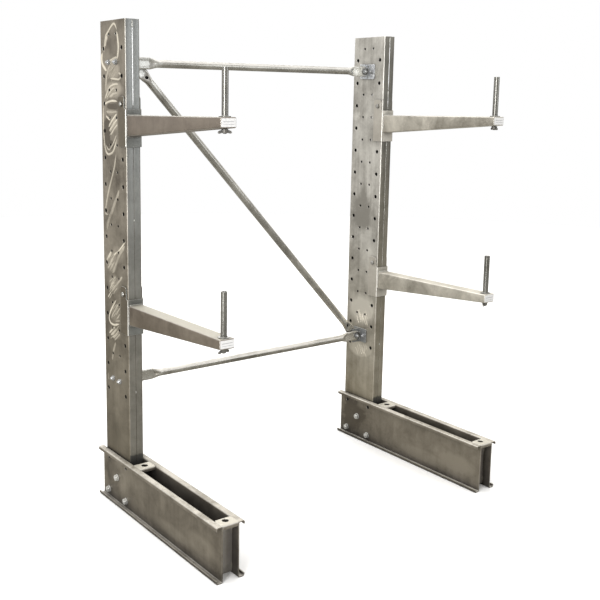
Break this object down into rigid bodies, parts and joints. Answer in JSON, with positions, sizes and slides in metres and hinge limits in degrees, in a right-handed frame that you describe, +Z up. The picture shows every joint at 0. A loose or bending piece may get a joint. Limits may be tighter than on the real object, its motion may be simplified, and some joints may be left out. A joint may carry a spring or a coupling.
{
  "type": "cantilever rack",
  "caption": "Galvanised single-sided cantilever rack with punched columns, clasping bases, tube bracing and pin-hung tapered arms with upright stop pins.",
  "frame": {"origin": "centre of the footprint on the floor", "axes": "+Z up the columns, -Y out along the arms and bases, +X along the braces from the left upright to the right one"},
  "size_m": [1.3696, 0.86, 1.85],
  "materials": {
    "column_zinc": "hot-dip galvanised, mottled, with runs and streaks",
    "base_zinc": "hot-dip galvanised, warm grey and mottled",
    "spacer_zinc": "hot-dip galvanised, matt",
    "saddle_zinc": "hot-dip galvanised, matt with bright edges",
    "arm_zinc": "hot-dip galvanised, warm grey",
    "brace_zinc": "hot-dip galvanised tube, satin",
    "bracket_zinc": "hot-dip galvanised, cooler grey",
    "pin_zinc": "galvanised pipe, satin",
    "nut_zinc": "dull zinc, cast",
    "bright_zinc": "bright zinc-plated, satin"
  },
  "bodies": {
    "frame": {"left_column_outer_half": "column_zinc", "left_base_outer_channel": "base_zinc", "left_column_inner_half": "column_zinc", "left_base_inner_channel": "base_zinc", "left_base_front_cap": "spacer_zinc", "left_base_rear_spacer": "spacer_zinc", "left_base_front_web": "spacer_zinc", "left_base_bolt_centre": "bright_zinc", "left_base_bolt_low_front": "bright_zinc", "left_base_bolt_low_rear": "bright_zinc", "left_top_bracket": "bracket_zinc", "left_top_bracket_bolt_front": "bright_zinc", "left_top_bracket_bolt_rear": "bright_zinc", "left_top_brace_bolt": "bright_zinc", "left_bottom_bracket": "bracket_zinc", "left_bottom_bracket_bolt_front": "bright_zinc", "left_bottom_bracket_bolt_rear": "bright_zinc", "left_bottom_brace_bolt": "bright_zinc", "right_column_outer_half": "column_zinc", "right_base_outer_channel": "base_zinc", "right_column_inner_half": "column_zinc", "right_base_inner_channel": "base_zinc", "right_base_front_cap": "spacer_zinc", "right_base_rear_spacer": "spacer_zinc", "right_base_front_web": "spacer_zinc", "right_base_bolt_centre": "bright_zinc", "right_base_bolt_low_front": "bright_zinc", "right_base_bolt_low_rear": "bright_zinc", "right_top_bracket": "bracket_zinc", "right_top_bracket_bolt_front": "bright_zinc", "right_top_bracket_bolt_rear": "bright_zinc", "right_top_brace_bolt": "bright_zinc", "right_bottom_bracket": "bracket_zinc", "right_bottom_bracket_bolt_front": "bright_zinc", "right_bottom_bracket_bolt_rear": "bright_zinc", "right_bottom_brace_bolt": "bright_zinc", "top_brace": "brace_zinc", "bottom_brace": "brace_zinc", "diagonal_brace": "brace_zinc"},
    "left_upper_arm": {"left_upper_arm_saddle": "saddle_zinc", "left_upper_arm_beam": "arm_zinc", "left_upper_stop_pin": "pin_zinc"},
    "left_upper_nut": {"left_upper_wing_nut": "nut_zinc"},
    "left_upper_pin": {"left_upper_lock_pin": "bright_zinc"},
    "left_lower_arm": {"left_lower_arm_saddle": "saddle_zinc", "left_lower_arm_beam": "arm_zinc", "left_lower_stop_pin": "pin_zinc"},
    "left_lower_nut": {"left_lower_wing_nut": "nut_zinc"},
    "left_lower_pin": {"left_lower_lock_pin": "bright_zinc"},
    "right_upper_arm": {"right_upper_arm_saddle": "saddle_zinc", "right_upper_arm_beam": "arm_zinc", "right_upper_stop_pin": "pin_zinc"},
    "right_upper_nut": {"right_upper_wing_nut": "nut_zinc"},
    "right_upper_pin": {"right_upper_lock_pin": "bright_zinc"},
    "right_lower_arm": {"right_lower_arm_saddle": "saddle_zinc", "right_lower_arm_beam": "arm_zinc", "right_lower_stop_pin": "pin_zinc"},
    "right_lower_nut": {"right_lower_wing_nut": "nut_zinc"},
    "right_lower_pin": {"right_lower_lock_pin": "bright_zinc"}
  },
  "joints": [
    {"name": "left_upper_arm_lift", "type": "hinge", "parent": "frame", "child": "left_upper_arm", "pos_m": [-0.6285, 0.244, 1.55], "axis": [-1, 0, 0], "range_deg": [0, 55]},
    {"name": "left_upper_nut_turn", "type": "hinge", "parent": "left_upper_arm", "child": "left_upper_nut", "pos_m": [-0.6285, -0.381, 1.475], "axis": [0, 0, 1], "continuous": true},
    {"name": "left_upper_pin_pull", "type": "slide", "parent": "left_upper_arm", "child": "left_upper_pin", "axis": [-1, 0, 0], "range_m": [0, 0.08]},
    {"name": "left_lower_arm_lift", "type": "hinge", "parent": "frame", "child": "left_lower_arm", "pos_m": [-0.6285, 0.244, 0.85], "axis": [-1, 0, 0], "range_deg": [0, 55]},
    {"name": "left_lower_nut_turn", "type": "hinge", "parent": "left_lower_arm", "child": "left_lower_nut", "pos_m": [-0.6285, -0.381, 0.775], "axis": [0, 0, 1], "continuous": true},
    {"name": "left_lower_pin_pull", "type": "slide", "parent": "left_lower_arm", "child": "left_lower_pin", "axis": [-1, 0, 0], "range_m": [0, 0.08]},
    {"name": "right_upper_arm_lift", "type": "hinge", "parent": "frame", "child": "right_upper_arm", "pos_m": [0.6285, 0.244, 1.55], "axis": [-1, 0, 0], "range_deg": [0, 55]},
    {"name": "right_upper_nut_turn", "type": "hinge", "parent": "right_upper_arm", "child": "right_upper_nut", "pos_m": [0.6285, -0.381, 1.475], "axis": [0, 0, 1], "continuous": true},
    {"name": "right_upper_pin_pull", "type": "slide", "parent": "right_upper_arm", "child": "right_upper_pin", "axis": [-1, 0, 0], "range_m": [0, 0.08]},
    {"name": "right_lower_arm_lift", "type": "hinge", "parent": "frame", "child": "right_lower_arm", "pos_m": [0.6285, 0.244, 0.85], "axis": [-1, 0, 0], "range_deg": [0, 55]},
    {"name": "right_lower_nut_turn", "type": "hinge", "parent": "right_lower_arm", "child": "right_lower_nut", "pos_m": [0.6285, -0.381, 0.775], "axis": [0, 0, 1], "continuous": true},
    {"name": "right_lower_pin_pull", "type": "slide", "parent": "right_lower_arm", "child": "right_lower_pin", "axis": [-1, 0, 0], "range_m": [0, 0.08]}
  ]
}
